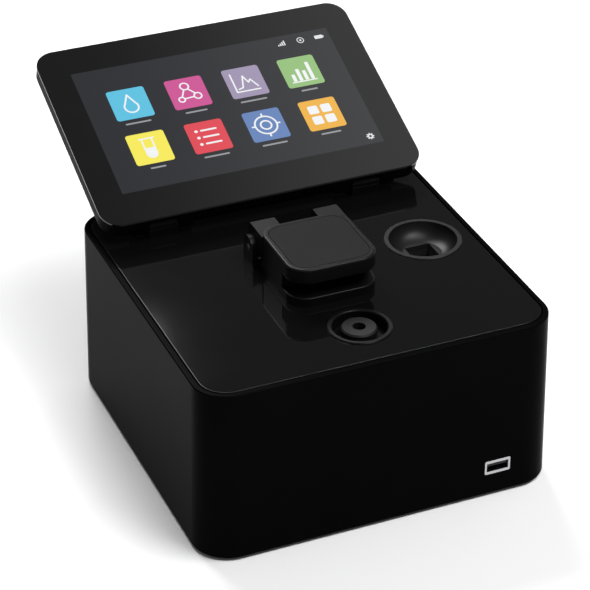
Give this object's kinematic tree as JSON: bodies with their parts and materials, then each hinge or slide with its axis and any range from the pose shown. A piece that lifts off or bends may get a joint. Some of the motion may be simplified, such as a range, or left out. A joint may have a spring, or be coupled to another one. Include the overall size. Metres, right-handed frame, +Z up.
{
  "type": "microvolume spectrophotometer",
  "caption": "Square bench spectrophotometer with a hinged lid over a drop window, a cuvette well, a tube mixer and a tilting touch screen.",
  "frame": {"origin": "on the bench surface, under the middle of the housing's square footprint", "axes": "+Z up, -Y towards the front wall, +X to the right as seen from the front"},
  "size_m": [0.2, 0.2797, 0.1618],
  "materials": {
    "gloss_black_case": "gloss",
    "gloss_black_deck": "mirror gloss",
    "satin_black_plastic": "satin",
    "grey_inlay": "fine matt",
    "grey_cup": "satin",
    "black_glass": "polished",
    "display": "smooth",
    "rubber": "matt",
    "bright_steel": "bright",
    "socket_plastic": "moulded",
    "clear_quartz": "polished",
    "front_mirror": "coated",
    "sheet_metal": "zinc plated",
    "bench_aluminium": "anodised",
    "circuit_board": "solder mask",
    "battery_wrap": "shrink film",
    "lamp_can": "drawn",
    "fibre_jacket": "jacket"
  },
  "bodies": {
    "base": {"housing_shell": "gloss_black_case", "deck_plate": "gloss_black_deck", "base_plate": "sheet_metal", "rubber_feet": "rubber", "base_screws": "bright_steel", "usb_a_shell": "bright_steel", "usb_a_tongue": "socket_plastic", "usb_board": "circuit_board", "usb_board_posts": "sheet_metal", "dc_jack": "socket_plastic", "usb_b_socket": "bright_steel", "lan_socket": "bright_steel", "power_switch": "socket_plastic", "switch_bracket": "satin_black_plastic", "mainboard": "circuit_board", "mainboard_parts": "circuit_board", "board_standoffs": "sheet_metal", "battery_pack": "battery_wrap", "battery_strap": "sheet_metal", "optics_bench": "bench_aluminium", "bench_pillars": "sheet_metal", "spectrometer_body": "bench_aluminium", "spectrometer_cover": "bench_aluminium", "spectrometer_grating": "front_mirror", "spectrometer_mirror": "front_mirror", "sensor_board": "circuit_board", "lamp_housing": "bench_aluminium", "flash_lamp": "lamp_can", "lens_tube": "bench_aluminium", "illumination_fibre": "fibre_jacket", "detection_fibre": "fibre_jacket", "cuvette_fibre": "fibre_jacket", "light_guide_holder": "socket_plastic", "window_ring": "bright_steel", "sample_window": "clear_quartz", "sample_platform": "gloss_black_deck", "lid_hinge_base": "satin_black_plastic", "lid_hinge_pin": "bright_steel", "cuvette_cup": "satin_black_plastic", "cuvette_block": "bench_aluminium", "mixer_bezel": "satin_black_plastic", "mixer_frame": "satin_black_plastic", "post_nuts": "bright_steel", "mixer_dampers": "rubber", "screen_hinge_brackets": "satin_black_plastic"},
    "lid": {"lid_shell": "satin_black_plastic", "lid_pad": "grey_inlay", "lid_mirror_holder": "socket_plastic", "lid_mirror": "front_mirror"},
    "screen": {"screen_glass": "black_glass", "screen_case": "gloss_black_case", "display_panel": "display", "screen_board": "circuit_board", "screen_hinge_pins": "bright_steel"},
    "mixer_carriage": {"mixer_carriage": "bench_aluminium", "mixer_motor": "lamp_can"},
    "mixer_rotor": {"mixer_rotor": "bright_steel"},
    "mixer_cup": {"mixer_cup": "grey_cup", "cup_bearing": "bright_steel"},
    "power_button": {"power_button": "satin_black_plastic"}
  },
  "joints": [
    {"name": "lid_hinge", "type": "hinge", "parent": "base", "child": "lid", "pos_m": [0, 0.018, 0.1088], "axis": [-1, 0, 0], "range_deg": [0, 95]},
    {"name": "screen_tilt", "type": "hinge", "parent": "base", "child": "screen", "pos_m": [0, 0.065, 0.1058], "axis": [1, 0, 0], "range_deg": [-20, 60]},
    {"name": "mixer_press", "type": "slide", "parent": "base", "child": "mixer_carriage", "axis": [0, 0, 1], "range_m": [-0.001, 0], "stiffness_N_per_m": 1500, "springref_m": 0.0015, "deforming": ["mixer_dampers"]},
    {"name": "mixer_spin", "type": "hinge", "parent": "mixer_carriage", "child": "mixer_rotor", "pos_m": [0, -0.064, 0.08], "axis": [0, 0, 1], "continuous": true},
    {"name": "cup_orbit", "type": "hinge", "parent": "mixer_rotor", "child": "mixer_cup", "pos_m": [0, -0.0632, 0.092], "axis": [0, 0, 1], "continuous": true},
    {"name": "power_press", "type": "slide", "parent": "base", "child": "power_button", "axis": [0, 1, 0], "range_m": [-0.0012, 0], "stiffness_N_per_m": 600, "springref_m": 0.0015}
  ],
  "couplings": [
    {"joint": "cup_orbit", "follows": "mixer_spin", "ratio": -1}
  ]
}
